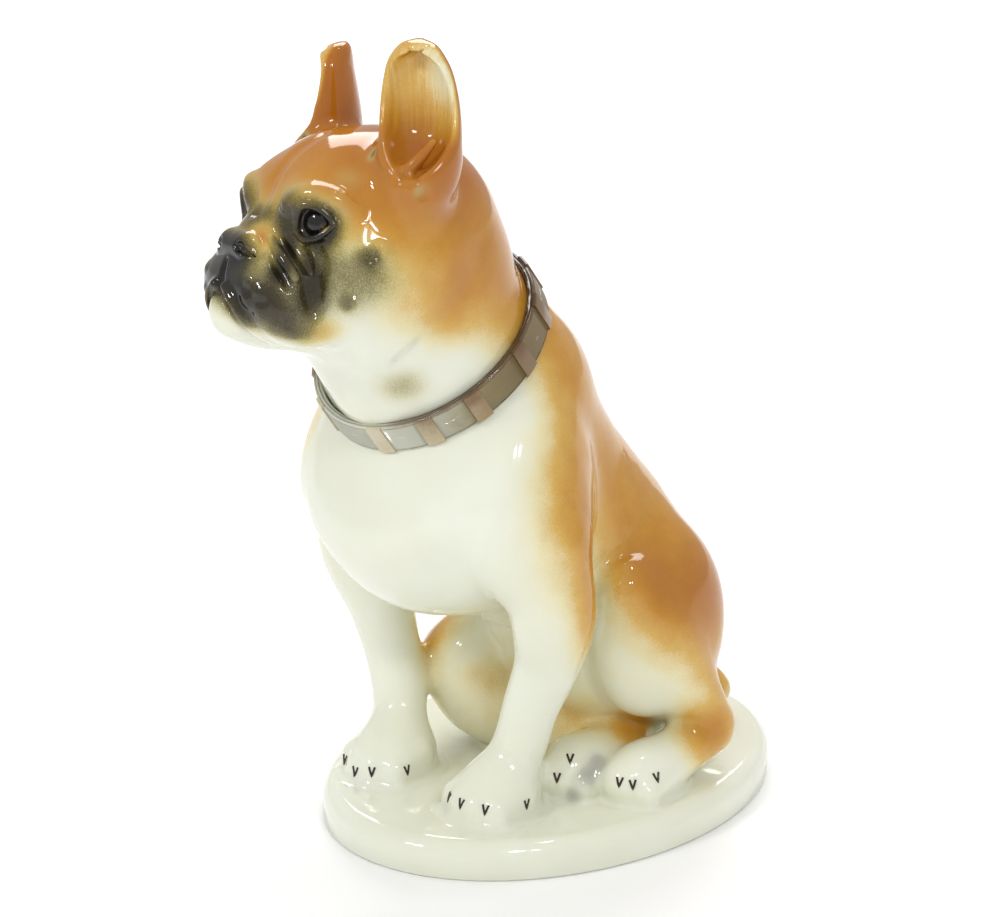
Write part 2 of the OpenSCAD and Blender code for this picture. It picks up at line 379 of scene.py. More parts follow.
def skinned(field, low, high, cell):
    """A quad mesh over the zero surface of a field: one point per crossed cell, pulled on to it."""
    low = np.array(low) - 3 * cell
    count = np.ceil((np.array(high) + 3 * cell - low) / cell).astype(int)
    step = 8
    count = (count + step - 1) // step * step
    cells = np.stack(np.meshgrid(*[np.arange(0, n, step) for n in count], indexing="ij"), -1).reshape(-1, 3)
    while True:
        depth = field(low + (cells + step / 2) * cell)
        cells = cells[np.abs(depth) < step * cell * 1.3 + cell * (step == 1) + 1.0 * (step > 1)]
        if step == 1:
            break
        step //= 2
        halves = np.stack(np.meshgrid([0, step], [0, step], [0, step], indexing="ij"), -1).reshape(-1, 3)
        cells = (cells[:, None, :] + halves[None]).reshape(-1, 3)
    span = count + 1

    def key(c):
        return (c[:, 0].astype(np.int64) * span[1] + c[:, 1]) * span[2] + c[:, 2]

    corners = np.array([(i, j, k) for i in (0, 1) for j in (0, 1) for k in (0, 1)])
    keys = np.stack([key(cells + c) for c in corners], 1)
    unique, back = np.unique(keys.ravel(), return_inverse=True)
    spots = np.stack([unique // (span[1] * span[2]), unique // span[2] % span[1], unique % span[2]], -1)
    values = field(low + spots * cell)[back].reshape(-1, 8)
    crossed = (values.min(1) < 0) & (values.max(1) >= 0)
    cells, values = cells[crossed], values[crossed]
    total, hits = np.zeros((len(cells), 3)), np.zeros(len(cells))
    for a in range(8):
        for b in range(a + 1, 8):
            if abs(corners[a] - corners[b]).sum() != 1:
                continue
            va, vb = values[:, a], values[:, b]
            sign_change = (va < 0) != (vb < 0)
            t = np.where(sign_change, va / np.where(sign_change, va - vb, 1.0), 0.0)
            total[sign_change] += (corners[a] + (corners[b] - corners[a]) * t[:, None])[sign_change]
            hits[sign_change] += 1
    points = low + (cells + total / hits[:, None]) * cell
    order = np.argsort(key(cells))
    ranked = key(cells)[order]

    def find(c):
        k = key(c)
        at = np.clip(np.searchsorted(ranked, k), 0, len(ranked) - 1)
        return np.where(ranked[at] == k, order[at], -1)

    quads = []
    for axis, corner in ((0, 4), (1, 2), (2, 1)):
        a, b = values[:, 0], values[:, corner]
        edge = (a < 0) != (b < 0)
        c = cells[edge]
        u, w = np.eye(3, dtype=int)[(axis + 1) % 3], np.eye(3, dtype=int)[(axis + 2) % 3]
        quad = np.stack([find(c), find(c - u), find(c - u - w), find(c - w)], 1)
        quad[a[edge] >= 0] = quad[a[edge] >= 0][:, ::-1]
        quads.append(quad[(quad >= 0).all(1)])
    quads = np.concatenate(quads)
    for _ in range(3):
        near, links = np.zeros_like(points), np.zeros(len(points))
        for i in range(4):
            for a, b in ((i, (i + 1) % 4), ((i + 1) % 4, i)):
                for axis in range(3):
                    near[:, axis] += np.bincount(quads[:, a], points[quads[:, b], axis], len(points))
                links += np.bincount(quads[:, a], minlength=len(points))
        points += 0.5 * (near / np.maximum(links, 1)[:, None] - points)
        slope = slopes(field, points)
        pull = field(points) / np.maximum((slope * slope).sum(1), 0.1)
        points -= slope * np.clip(pull, -1.2, 1.2)[:, None]
    return points, quads


def spots(p, *sprays):
    """Airbrushed colour: soft spots of (x, y, z), reach and strength, laid over each other."""
    bare = np.ones(len(p))
    for at, reach, strength in sprays:
        q = (p - np.array(at, float)) / (np.array(reach, float) * np.ones(3))
        bare *= 1.0 - strength * np.exp(-(q * q).sum(1) ** 1.3)
    return 1.0 - bare


def rise(x, start, end):
    """A smooth step from 0 at start to 1 at end."""
    t = np.clip((x - start) / (end - start), 0.0, 1.0)
    return t * t * (3 - 2 * t)


unglazed = []


def smoothed(figure):
    """Lets the glaze run over the joints: every visible point takes the slope of the whole figure."""
    for mesh, points, normals in unglazed:
        outer = np.flatnonzero(np.abs(figure(points)) < 0.35)
        slope = slopes(figure, points[outer])
        normals[outer] = slope / (np.linalg.norm(slope, axis=1)[:, None] + 1e-9)
        mesh.normals_split_custom_set_from_vertices(normals.tolist())
    unglazed.clear()


def cast(name, piece, around, k, material, cell=CELL, bury=1.2, extra=None):
    """One cast piece, pressed on to what is already there, as a closed painted mesh."""
    whole = luted(piece, around, k)

    def solid(p):
        own, rest = piece(p), around(p)
        reach = k(p) if callable(k) else k
        sunk = 0.08 * rise(own / reach, 0.7, 0.9)
        depth = np.maximum(merged(own, rest, reach) + sunk, own - 0.93 * reach)
        depth = np.maximum(depth, -rest - bury)
        return depth if extra is None else np.maximum(depth, extra(p))

    reach = 14.0
    points, quads = skinned(solid, piece.low - reach, piece.high + reach, cell)
    normals = slopes(whole, points)
    buried = around(points) < -0.25 * bury
    normals[buried] = slopes(solid, points[buried])
    normals /= np.linalg.norm(normals, axis=1)[:, None] + 1e-9
    mesh = bpy.data.meshes.new(name)
    mesh.from_pydata((points * MM).tolist(), [], quads.tolist())
    mesh.update()
    mesh.shade_smooth()
    unglazed.append((mesh, points, normals))
    for channel, level in paint(points, normals).items():
        layer = mesh.attributes.new(channel, "FLOAT", "POINT")
        layer.data.foreach_set("value", np.clip(level, 0, 1).astype(np.float32))
    mesh.materials.append(material)
    thing = bpy.data.objects.new(name, mesh)
    bpy.context.collection.objects.link(thing)
    print(name, len(quads) * 2, "triangles")
    return thing, whole


FORE_MID = -6.5
HEAD_AT = np.array((-13.0, -63.0, 170.0))
HEAD_TURN = turned_by(-8.0, -7.0, -16.0)
COLLAR_AT = np.array((-8.8, -36.8, 135.0))
COLLAR_TURN = turned_by(36.0, -3.4, 0.0)


def body_fawn_and_shade(p):
    """The sprayed fawn of the body over the back, shoulders, thighs and hocks, soft-edged, and painted shade:
    a faint cream-olive tint in the hollows between the legs.
    """
    x, y, z = p.T
    side = np.abs(x - FORE_MID)
    lean = y + 0.42 * (z - 100)
    back = rise(lean + 0.55 * (side - 20), -22, 2) * rise(z, 44, 66)
    flank = spots(p, ((36, -27, 98), (13, 15, 24), 0.8), ((-49, -27, 96), (13, 15, 24), 0.8),
                  ((41, -25, 82), (8, 9, 18), 0.75), ((39, -24, 66), (8, 8, 12), 0.6),
                  ((-52, -22, 72), (8, 9, 20), 0.6), ((40, 18, 60), (15, 18, 20), 0.9),
                  ((38, 0, 71), (9, 9, 10), 0.6), ((43, 20, 43), (7, 10, 12), 0.6),
                  ((24, 40, 44), (18, 16, 26), 0.85), ((-20, 36, 44), (24, 20, 26), 0.85),
                  ((-34, 10, 42), (14, 18, 18), 0.8), ((-29, -14, 38), (9, 12, 16), 0.7),
                  ((-9, -15, 35), (10, 6, 5), 0.2), ((-46, -42, 108), (10, 13, 16), 0.6),
                  ((45, 16, 25), (8, 10, 10), 0.95),
                  ((27, 5, 24), (7, 7, 6), 0.85), ((13, -3, 25), (13, 8, 8), 0.35),
                  ((15, -19, 18), (3.5, 5, 6), 0.6), ((0, 46, 30), (14, 12, 16), 0.85),
                  ((12, 51, 20), (9, 9, 9), 0.9))
    # painted shade: a faint cream-olive tint, low on the fawn ramp, sprayed into the hollows between the legs
    # and under the chest
    shade = spots(p, ((10, -10, 46), (28, 14, 30), 0.13), ((-12, -12, 26), (18, 12, 16), 0.16),
                  ((-8, -40, 66), (24, 16, 10), 0.07))
    return 1 - (1 - 0.76 * back) * (1 - 0.9 * flank) * (1 - shade)


def paint(p, n):
    """Every painted colour at points of the body or the head, with painted shade in some creases and hollows.
    """
    q = (p - HEAD_AT) @ HEAD_TURN
    x, y, z = q.T
    m = np.stack([np.abs(x), y, z], 1)
    on_head = rise((p - COLLAR_AT) @ COLLAR_TURN[:, 2], -2, 2)
    crown = rise(z - 0.28 * y - 0.05 * m[:, 0], -5, 11)
    behind = rise(y + 0.3 * z, 0, 16) * rise(z, -30, -8)
    nape = rise((p - COLLAR_AT) @ COLLAR_TURN[:, 1], -12, 12)
    blush = spots(m, ((27, 4, -6), (8, 10, 15), 0.5), ((19.5, -17, -22.5), (6, 6, 4), 0.45),
                  ((30, -1, 4), (7, 9, 8), 0.5), ((26, 16, -14), (7, 8, 12), 0.55))
    head_fawn = 1 - (1 - 0.82 * crown) * (1 - 0.62 * nape) * (1 - 0.6 * behind) * (1 - blush)
    # inside the ears, cream with streaks of ochre drawn up from the bottom
    facing = n @ HEAD_TURN
    inside = rise(0.66 * facing[:, 0] * np.sign(x) - 0.75 * facing[:, 1], 0.0, 0.5) * rise(z, 24, 31)
    inside *= rise(m[:, 0], 13, 17)
    run = m[:, 0] + 0.7 * y + 0.05 * z
    broad = np.sin(3.1 * run + 2.2 * np.sin(0.13 * z + 0.6 * run))
    streaks = 0.5 + 0.25 * broad + 0.25 * np.sin(5.3 * run + 0.2 * z)
    drawn = 0.14 + 0.15 * streaks + 0.36 * rise(-z, -40, -28) + 0.16 * rise(z, 45, 51)
    drawn += 0.26 * rise(-m[:, 0], -26, -20) - 0.12 * spots(m, ((29, 5, 40), (4, 9, 9), 1.0))
    head_fawn = head_fawn * (1 - inside) + drawn * inside
    ears = rise(z, 28, 36) * (1 - inside)
    head_fawn += 0.16 * ears * (1 - head_fawn)
    patch = spots(m, ((6.5, -27.0, -1.5), (4.4, 4, 5.5), 1.0))
    fawn = on_head * np.maximum(head_fawn, 0.9 * patch) + (1 - on_head) * body_fawn_and_shade(p)
    # the black mask round the nose, eyes and lips; the spots along the valleys of the folds beside the nose
    # and down the groove between lip and cheek are painted shade
    dark = spots(m, ((3, -32.5, -4), (9, 6, 6), 1.0), ((0, -35, -11), (8, 6, 6), 0.95),
                 ((8.5, -33, -14), (7, 6, 6), 0.85), ((9.5, -31, -19), (5, 5, 5), 0.6),
                 ((18.4, -19, 4.4), (5.6, 5.4, 5.4), 1.0), ((11, -24, 4), (5, 5, 7), 0.7),
                 ((2, -27, 5), (6, 5, 5), 0.7), ((16.6, -26.6, -7.2), (3, 4, 4.4), 0.8),
                 ((14, -24, -2.6), (3.4, 3, 4), 0.8), ((20.6, -19.5, -6), (3.6, 4, 8), 0.62),
                 ((21.2, -19.8, -14), (3.6, 4, 6), 0.6), ((18.4, -26.5, -19.8), (6, 6, 6), 0.5),
                 ((19.2, -21.7, -23.5), (5, 5, 3.4), 0.35), ((15.9, -31, -15), (5, 5, 5), 0.6),
                 ((19.4, -17.5, 3.4), (6.4, 5.4, 5.4), 0.7))
    # olive round the mask and over the whisker pads, with painted shade down the groove between lip and cheek
    # and in the dimple of each cheek bump
    olive_and_crease_shade = spots(m, ((16, -27, -14), (10, 10, 11), 0.42), ((22, -18, -8), (10, 9, 12), 0.34),
                  ((13, -22, 9), (7, 5, 5), 0.32), ((28, -8, -3), (3.4, 3.6, 3.4), 0.5),
                  ((27, -10, -9), (7, 7, 8), 0.34),
                  ((29.6, -4, -8.5), (5, 7, 7), 0.22), ((27, -13.4, -15), (2.4, 2.4, 2.4), 0.45))
    mask_and_shade = 1 - (1 - dark * (1 - 0.9 * patch)) * (1 - olive_and_crease_shade * (1 - patch))
    chin = rise(-z - 0.55 * np.abs(x) + 0.25 * (y + 36), 17, 22) * (1 - rise(y, -24, -18))
    mask_and_shade *= 1 - 0.78 * chin
    # the white of the eye at its outer corner; painted shade as small dark spots in the creases round the
    # roots of the ears and in the pit below each ear; and two faint dark spots over the brows
    mask_and_shade *= 1 - 0.9 * spots(m, ((20.9, -17.6, 3.6), (1.3, 1.3, 1.1), 1.0))
    shade_and_dark_spots = spots(m, ((19.4, -2.4, 21.5), (1.5, 2.2, 2.0), 0.8), ((33.6, -1.4, 19), (1.8, 2.2, 2.0), 0.8),
                    ((34.6, 2.0, 13.4), (1.4, 1.6, 1.6), 0.6), ((27, -15.5, 13), (4, 4, 3.4), 0.22),
                    ((22, -12, 17), (4, 4, 3), 0.2))
    mask_and_shade = 1 - (1 - mask_and_shade) * (1 - shade_and_dark_spots)
    mask_and_shade = 1 - (1 - mask_and_shade) * (1 - spots(p, ((8, -64, 134), (6, 6, 5), 0.3)))
    grey = spots(p, ((29.5, -17, 17), (3.0, 3.4, 3.4), 0.75),
                 ((28.5, -20, 12.5), (2.4, 3, 3), 0.7), ((30.5, -13.5, 20), (2.6, 3, 3), 0.6))
    return {"fawn": fawn, "mask_and_shade": mask_and_shade * on_head, "grey": grey}


FAWN = [(0.0, (0.78, 0.74, 0.48), 0.0), (0.18, (0.78, 0.67, 0.32), 0.7), (0.45, (0.67, 0.42, 0.10), 1.0),
        (0.75, (0.56, 0.27, 0.03), 1.0), (1.0, (0.40, 0.125, 0.008), 1.0)]
MASK_AND_SHADE = [(0.0, (0.60, 0.52, 0.22), 0.0), (0.22, (0.46, 0.40, 0.13), 0.55), (0.45, (0.20, 0.165, 0.04), 0.9),
        (0.7, (0.05, 0.04, 0.015), 1.0), (0.92, (0.008, 0.007, 0.006), 1.0)]
GREY = [(0.0, (0.5, 0.5, 0.42), 0.0), (0.4, (0.42, 0.42, 0.36), 0.7), (1.0, (0.30, 0.31, 0.30), 1.0)]
glaze_body = glaze("glaze_body", [("fawn", FAWN, 1.2, 1.0), ("grey", GREY, 0.8, 1.0)])


def table(p):
    """The oval base with its rounded edge."""
    across, along = p[:, 0] / 53.7, p[:, 1] / 70.0
    out = (np.hypot(across, along) - 1.0) * 56.0
    q = np.stack([out + 4.6, p[:, 2] - TOP + 4.6], 1)
    return np.minimum(q.max(1), 0) + np.linalg.norm(np.maximum(q, 0), axis=1) - 4.6


torso = Clay()
torso.press(Egg((-9, -37, 101), (34.5, 34, 36)))
torso.press(Egg((-7, -33, 82), (24, 22, 19)), 12)
torso.press(Egg((-5, -23, 119), (31, 30, 27)), 14)
torso.press(Egg((-2, -6, 86), (28, 29, 33)), 14)
torso.press(Egg((2, 12, 63), (29, 28, 32)), 14)
torso.press(Egg((3, 19, 40), (30, 28, 29)), 12)
for s in (-1, 1):
    torso.press(Egg((FORE_MID + s * 31, -34, 98), (10, 19, 25)), 10)
torso.press(Coil([(-7.8, -27, 121.6, 30), (-8.8, -36.8, 135, 30), (-9.4, -42, 142, 29)]), 8)


class Shoulders:
    """The torso trimmed to a cone that runs out from under the collar."""

    def __init__(self, clay):
        self.clay, self.low, self.high = clay, clay.low, clay.high

    def __call__(self, p):
        q = (p - COLLAR_AT) @ COLLAR_TURN
        out = np.hypot(q[:, 0], q[:, 1]) - 30.6 - 1.5 * np.maximum(-q[:, 2] - 4.0, 0)
        return -merged(-self.clay(p), -out * 0.55, 5.0)


def above_collar(p):
    return (p - COLLAR_AT) @ COLLAR_TURN[:, 2]


body, figure = cast("torso", Shoulders(torso), table, 3.0, glaze_body, extra=above_collar)
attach(body, "root")
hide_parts("torso")

# ---------------------------------------------------------------------------------------------
# Hind legs. Each haunch is a cast thigh and shank, and each hind foot is a separate press-moulding.
# The dog sits over on one hip, so both feet come out at its left side.
# ---------------------------------------------------------------------------------------------
glaze_haunch = glaze("glaze_haunch", [("fawn", FAWN, 1.2, 1.0), ("grey", GREY, 0.8, 1.0)])
glaze_hind_paw = glaze("glaze_hind_paw", [("fawn", FAWN, 1.2, 1.0), ("grey", GREY, 0.8, 1.0)])
haunch_left = Clay()
haunch_left.press(Egg((28, 12, 53), (15, 22, 27)))
haunch_left.press(Coil([(31, -3, 68, 8), (36, 6, 50, 8.5), (39, 15, 36, 7.5), (40, 20, 26, 7.2)], 10), 6)
haunch_right = Clay()
haunch_right.press(Egg((-18, 4, 33), (16, 23, 23)))
haunch_right.press(Coil([(-24, -10, 33, 12), (-13, -8, 23, 10), (8, 2, 20, 9), (21, 6, 18, 7.5)], 10), 8)
paw_left = Clay()
paw_left.press(Egg((37.4, -3, TOP + 5.5), (9, 13.5, 8.5)))
paw_left.press(Coil([(40, 20, 23, 7.4), (39, 8, 18.5, 7.2), (38, -3, TOP + 5.6, 7.2)], 8), 4)
paw_right = Clay()
paw_right.press(Egg((22, -12, TOP + 5.5), (9, 12.5, 9)))
paw_right.press(Coil([(22, 4, 18, 7.5), (22.5, -6, TOP + 6.5, 7.6), (22, -12, TOP + 5.4, 8)], 8), 4)
for foot, (x, y), half in ((paw_left, (37.6, -11.5), 4.4), (paw_right, (22, -20.5), 4.4)):
    for t in (-1.5, -0.5, 0.5, 1.5):
        tip = y + abs(t) * 1.9
        foot.press(Coil([(x + t * half * 0.8, tip + 8, TOP + 5.5, 3.6),
                         (x + t * half, tip, TOP + 3.6, 3.7)]), 1.6)


def hip_fillet(p):
    """Tight at the fold in front of the thigh, wide where the thigh runs into the rump."""
    return 3.0 + 9.0 * rise(p[:, 1], 0, 26)


for name, clay, fillet, material, slot in (
        ("haunch_left", haunch_left, hip_fillet, glaze_haunch, "haunch_glaze"),
        ("haunch_right", haunch_right, hip_fillet, glaze_haunch, "haunch_glaze"),
        ("hind_paw_left", paw_left, 3.5, glaze_hind_paw, "hind_paw_glaze"),
        ("hind_paw_right", paw_right, 3.5, glaze_hind_paw, "hind_paw_glaze")):
    piece, figure = cast(name, clay, figure, fillet, material)
    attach(piece, "root")
    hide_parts(name)

# ---------------------------------------------------------------------------------------------
# Forelegs. Two solid cast legs, wide apart at the shoulder and close at the paws, luted to the chest
# and the base. White, with fawn sprayed down the back of each elbow.
# ---------------------------------------------------------------------------------------------
glaze_foreleg = glaze("glaze_foreleg", [("fawn", FAWN, 1.2, 1.0)])
for name, s in (("foreleg_left", 1), ("foreleg_right", -1)):
    def across(d):
        return FORE_MID + s * d
    leg = Clay()
    leg.press(Egg((across(32.5), -33, 92), (11.5, 15, 20)))
    leg.press(Coil([(across(34.5), -33, 86, 12), (across(35.5), -30, 68, 11.4),
                    (across(31.5) + 0.5, -28, 53, 9.0),
                    (across(26) + 1, -29, 39, 7.6), (across(22.5) + 1.8, -31, 27, 7.3),
                    (across(20) + 2.4, -35, 19, 7.6)], 12), 6)
    middle = across(19.3) + 2.8
    leg.press(Egg((middle, -38, TOP + 4.5), (11, 12.5, 8)), 6)
    for t in (-1.5, -0.5, 0.5, 1.5):
        x, tip = middle + t * 4.9, -48.8 + abs(t) * 2.6
        leg.press(Coil([(x, tip + 9, TOP + 6, 4.0), (x, tip, TOP + 4.0, 4.0)]), 1.6)
    piece, figure = cast(name, leg, figure, 5.5, glaze_foreleg)
    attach(piece, "root")
    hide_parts(name)

# ---------------------------------------------------------------------------------------------
# Tail. A short stub rolled by hand and luted low on the rump, sprayed red brown.
# ---------------------------------------------------------------------------------------------
glaze_tail = glaze("glaze_tail", [("fawn", FAWN, 1.2, 1.0)])
tail = Clay()
tail.press(Coil([(4, 42, 26, 8), (9, 48, 22, 6.8), (13, 51.5, 19, 5.8), (15.5, 52, 18, 5)], 10))
piece, figure = cast("tail", tail, figure, 3.0, glaze_tail)
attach(piece, "root")
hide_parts("tail")
smoothed(figure)

# ---------------------------------------------------------------------------------------------
# Claws. A short V of thick brown-black enamel on each toe that shows, laid on with a fine brush
# and fired. Each stroke follows the paw and stands a little proud of the glaze.
# ---------------------------------------------------------------------------------------------
INK = [(0.0, (0.20, 0.09, 0.03), 1.0), (0.5, (0.04, 0.02, 0.012), 1.0), (1.0, (0.008, 0.006, 0.005), 1.0)]
glaze_claw = glaze("glaze_claw", [("ink", INK, 1.0, 1.8)], gloss=0.1)
tree, sizes, add, finish = node_tree("brush_strokes", {"Thickness": "Float", "Taper": "Float"})
curve = add("GeometryNodeMeshToCurve", {"Mesh": sizes["Geometry"]})
along = add("GeometryNodeSplineParameter")
off_middle = add("ShaderNodeMath", {0: along.outputs["Factor"], 1: 0.5}, operation="SUBTRACT")
off_middle = add("ShaderNodeMath", {0: off_middle.outputs[0]}, operation="ABSOLUTE")
less = add("ShaderNodeMath", {0: off_middle.outputs[0], 1: sizes["Taper"]}, operation="MULTIPLY")
fat = add("ShaderNodeMath", {0: 1.0, 1: less.outputs[0]}, operation="SUBTRACT")
tapered = add("GeometryNodeSetCurveRadius", {"Curve": curve.outputs[0], "Radius": fat.outputs[0]})
tip = add("GeometryNodeCurvePrimitiveCircle", {"Resolution": 10, "Radius": sizes["Thickness"]})
drawn = add("GeometryNodeCurveToMesh", {"Curve": tapered.outputs[0], "Profile Curve": tip.outputs[0],
                                        "Fill Caps": True})
smooth = add("GeometryNodeSetShadeSmooth", {"Geometry": drawn.outputs[0], "Shade Smooth": True})
finish(smooth.outputs[0], glaze_claw)
for name, slot, toes in (
        ("claws_fore", "foreleg_glaze",
         ((-30.6, -49, 14), (-24, -52, 13.4), (-18.3, -51, 14.7), (-11.6, -44, 15),
          (10, -50, 15.7), (15.6, -51, 15.8), (22.5, -49, 15.5), (27.2, -38, 15))),
        ("claws_hind", "hind_paw_glaze",
         ((26, -19.6, 22), (25, -23.7, 17.4), (40, -15.3, 18), (43, -13.3, 17.5),
          (46, -7, 18.5)))):
    strokes, joins = [], []
    for toe in toes:
        spot = np.array([toe], float)
        slope = slopes(figure, spot)[0]
        slope /= np.linalg.norm(slope)
        upward = np.array((0, 0, 1.0)) - slope * slope[2]
        upward /= np.linalg.norm(upward)
        sideways = np.cross(upward, slope)
        t = np.linspace(-1, 1, 9)[:, None]
        line = spot + upward * (2.7 * np.abs(t) - 1.3) + sideways * t * 0.85
        for _ in range(4):
            slope_here = slopes(figure, line)
            line = line - slope_here * (figure(line) / (slope_here ** 2).sum(1))[:, None]
        joins += [(len(strokes) + i, len(strokes) + i + 1) for i in range(8)]
        strokes += (line * MM).tolist()
    guide = bpy.data.meshes.new(name + "_guide")
    guide.from_pydata(strokes, joins, [])
    claws = grown(name, tree, {"Thickness": 0.32 * MM, "Taper": 1.2}, guide)
    layer = claws.data.attributes.new("ink", "FLOAT", "POINT")
    layer.data.foreach_set("value", np.full(len(claws.data.vertices), 0.6, np.float32))
    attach(claws, "root")

# ---------------------------------------------------------------------------------------------
# Head. Cast hollow with the neck and luted to the torso under the collar: a broad skull, heavy
# cheeks, a short black-masked muzzle with hanging lips, and modelled lids round painted eyes.
# ---------------------------------------------------------------------------------------------
glaze_head = glaze("glaze_head", [("fawn", FAWN, 1.2, 1.0), ("mask_and_shade", MASK_AND_SHADE, 1.6, 0.8),
                                  ("grey", GREY, 0.8, 1.0)],
                   waviness=0.7)


class Placed:
    """Clay worked in the head's own frame (+X its left, -Y forward, +Z up) and set on the neck."""

    def __init__(self, clay):
        self.clay = clay
        corners = np.array([(x, y, z) for x in (clay.low[0], clay.high[0])
                            for y in (clay.low[1], clay.high[1]) for z in (clay.low[2], clay.high[2])])
        corners = corners @ HEAD_TURN.T + HEAD_AT
        self.low, self.high = corners.min(0), corners.max(0)

    def __call__(self, p):
        return self.clay((p - HEAD_AT) @ HEAD_TURN)


skull = Clay()
skull.press(Egg((0, 2.5, 2.5), (27.5, 26.5, 24.5)))
skull.press(Egg((0, -18, -12), (16, 15, 13)), 8)
skull.press(Coil([(0, -30, -20.2, 6.8), (0, -22.5, -21.6, 7.8), (0, -13, -21.6, 8.4)]), 7)
skull.press(Coil([(0, -4, -20, 9), (0, 5.5, -27.5, 11.5), (0, 12, -36, 13)], 10), 8)
skull.press(Egg((0, -21.5, -0.8), (8.5, 7.8, 5.5)), 5)
skull.press(Egg((0, -24, -9), (9, 9.5, 8)), 4)
for s in (-1, 1):
    def on(*stations):
        return Coil([(s * x, y, z, r) for x, y, z, r in stations])
    # cheek, jowl behind it, throat, brow, hanging upper lip with its rolled edge
    skull.press(Egg((s * 16, -2, -10), (13.5, 18, 16)), 8)
    skull.press(Egg((s * 20, 9, -3), (9.5, 13, 17)), 6)
    skull.press(Egg((s * 11, 5, -23), (12, 12, 12)), 8)
    skull.press(Egg((s * 11, -12.5, 8), (8.5, 9, 8)), 6)
    skull.press(on((10.5, -22.3, 8.2, 1.2), (15.5, -19.6, 11.2, 2.0), (20.5, -15, 10.8, 2.0),
                   (23.6, -10, 7.8, 0.8)), 3)
    skull.press(Egg((s * 8.5, -23, -12.5), (10, 11, 9.5)), 4)
    skull.press(Egg((s * 13, -18, -18), (8, 12, 9.5)), 5)
    skull.press(on((3, -35.2, -13.4, 0.9), (6, -34.6, -16.2, 1.3), (8, -32.6, -19.8, 1.5),
                   (8.8, -29.4, -22.8, 1.5),
                   (9.2, -26, -25, 1.3), (9, -22.5, -26.6, 0.8)), 2)
    # the groove between lip and cheek, and three folds beside the nose
    skull.carve(on((18.5, -20.3, 0, 0.5), (21.2, -18.6, -6, 1.5), (21.3, -20, -12, 1.5),
                   (21.4, -19, -17, 0.6)), 5)
    skull.carve(on((12, -27.4, -3.4, 0.5), (16.6, -26.6, -7.2, 1.8), (19.2, -25.6, -11.4, 0.9)), 1.3)
    skull.carve(on((8.4, -25.6, 2.2, 0.5), (14, -24, -2.6, 1.6), (18.7, -22.4, -7.1, 1.2)), 1.3)
    skull.press(on((10, -26.4, -0.4, 0.8), (15.6, -25.6, -4.8, 1.5), (19.6, -24.0, -9.2, 0.9)), 1.6)
    skull.press(on((12.5, -22.6, -0.4, 0.8), (17, -21.0, -3.6, 1.4), (20.4, -20.0, -8.2, 0.8)), 1.8)
    skull.carve(on((7, -23, 11, 0.4), (5.6, -24.2, 7, 0.9), (7.2, -25.8, 3, 0.4)), 1.6)
    # socket, eyeball and lids
    skull.carve(Egg((s * 18.6, -19.3, 4.4), (4.9, 3.0, 4.2), turned_by(0, s * -14, s * 41)), 1.5)
    skull.press(Egg((s * 15.4, -15.2, 4.4), 4.8), 0.4)
    skull.press(on((14.3, -21.7, 1.6, 0.6), (14.6, -21.9, 6, 1.1), (16.6, -21.0, 8.6, 1.3),
                   (19.2, -18.7, 8.3, 1.2),
                   (21.0, -16.7, 6.6, 1.0), (22.2, -15.4, 4.4, 0.6)), 0.7)
    skull.press(on((14.3, -21.7, 1.6, 0.6), (16.8, -20.8, 0, 0.9), (19.3, -19.1, 0.6, 0.9),
                   (21.1, -17.2, 2.3, 0.8),
                   (22.2, -15.4, 4.4, 0.6)), 0.7)
    # pits in the whisker pad, and a bump with a dimple twice on the cheek
    for x, y, z in ((12.0, -32.2, -10.6), (14.8, -30.8, -13.2), (11.2, -32.6, -15.4), (14.4, -30.4, -17.6)):
        skull.press(Egg((s * (x - 0.3), y + 0.5, z), 1.4), 2.0)
    for x, y, z in ((28.6, -5.0, -2.4), (26.4, -11.1, -15.1)):
        skull.press(Egg((s * (x - 0.5), y, z), 2.3), 2.2)
        skull.carve(Egg((s * (x + 0.8), y - 2.6, z - 0.2), 1.3), 1.4)
    # the fold where jowl and neck meet
    skull.carve(on((15, 28.5, 9, 0.1), (21.5, 25.6, -1, 0.5), (25.6, 21.6, -11, 0.6),
                   (24.8, 15, -21.5, 0.4),
                   (20, 8, -30, 0.1)), 7)
# nose pad with its wings and nostrils, the groove below it, the lip line and the furrow of the brow
skull.press(Coil([(-4.0, -29.2, -3.4, 4.3), (4.0, -29.2, -3.4, 4.3)]), 0.8)
for s in (-1, 1):
    skull.press(Egg((s * 6, -29.4, -4.2), (3.4, 3.7, 3.4)), 1.0)
    skull.carve(Egg((s * 5.6, -33.4, -3.0), (2.0, 1.9, 1.6)), 0.6)
    skull.carve(Coil([(s * 7.0, -32.4, -4.0, 0.8), (s * 9.2, -29.6, -5.6, 0.5)]), 0.6)
skull.carve(Coil([(0, -33.2, -7.4, 0.4), (0, -34.6, -11, 0.8), (0, -35.2, -14.6, 0.9)]), 1.4)
lip = [(0, -35.9, -14.9, 0.8), (3, -35.7, -15.4, 0.8), (5, -35.0, -17.1, 0.9), (6.2, -34.0, -19, 1.0),
       (7, -31.9, -21.7, 1.0), (7.1, -29.2, -23.9, 0.9), (7.2, -26.4, -25.6, 0.8), (6.6, -23.2, -27.2, 0.5)]
skull.carve(Coil(lip), 0.9)
skull.carve(Coil([(-x, y, z, r) for x, y, z, r in lip]), 0.9)
skull.carve(Coil([(0, -25.6, 5, 0.6), (0, -24.4, 10, 1.3), (0, -21, 16.5, 1.3), (0, -15.4, 22, 1.1),
                  (0, -8, 25.9, 0.5)]), 3)

neck = Coil([(-7.8, -27, 121.6, 30), (-8.8, -36.8, 135, 30), (-9.4, -43, 147, 29), (-9.6, -47, 158, 29),
             (-9.6, -50, 167, 28)], 12)
head = Clay()
head.press(neck)
head.press(Placed(skull), 5)


